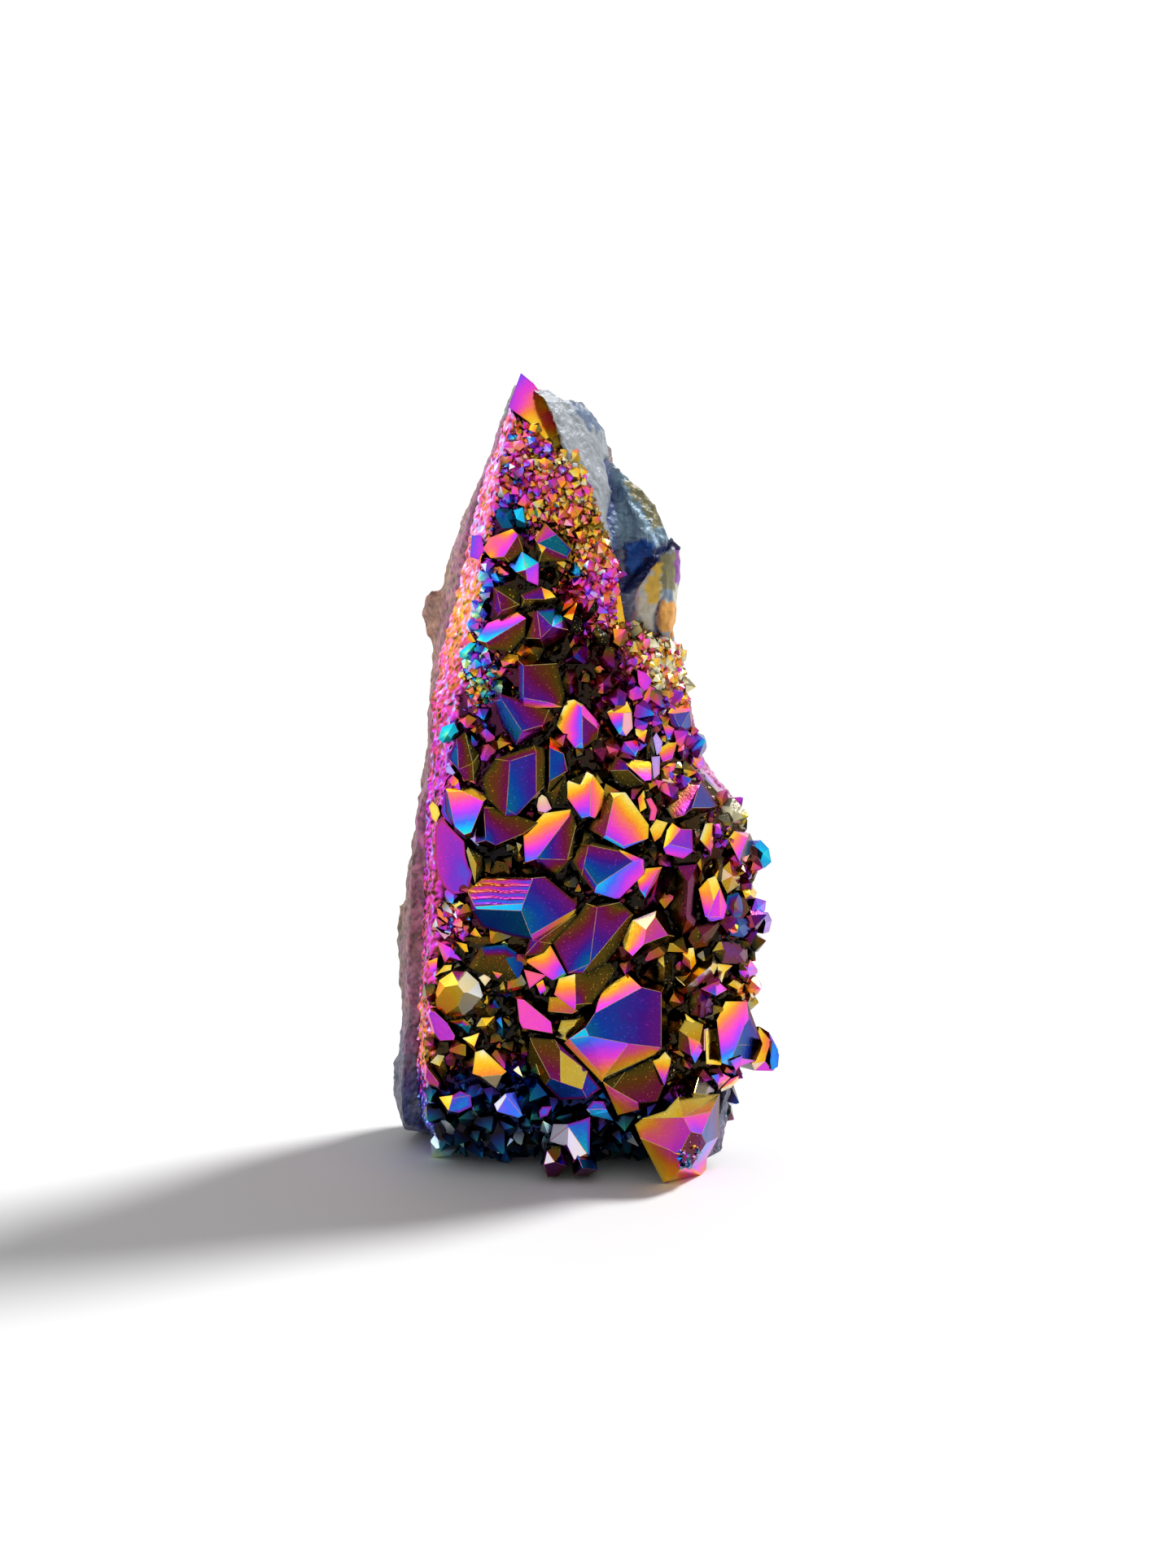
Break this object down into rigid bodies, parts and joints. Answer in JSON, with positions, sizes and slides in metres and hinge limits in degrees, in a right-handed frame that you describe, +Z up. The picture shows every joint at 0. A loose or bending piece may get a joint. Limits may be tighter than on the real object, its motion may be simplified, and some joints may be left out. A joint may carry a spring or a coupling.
{
  "type": "rainbow aura quartz cluster",
  "caption": "Tower of geode wall with a druse of coated rainbow quartz points on its front, standing on a flat cut base.",
  "frame": {"origin": "on the underside of the cut base, under the middle of the tower's width", "axes": "+Z up along the tower; the crystals face -Y; +X is to the right when facing the crystals"},
  "size_m": [0.0728, 0.0539, 0.15],
  "materials": {
    "wall_rock": "rough geode rind, with smooth broken agate at the top right, tinted by the metal vapour",
    "crystal_druse": "glassy crystal faces under an opaque metal film with rainbow interference colours"
  },
  "bodies": {
    "root": {"wall_rock": "wall_rock", "crystal_druse": "crystal_druse"}
  },
  "joints": []
}
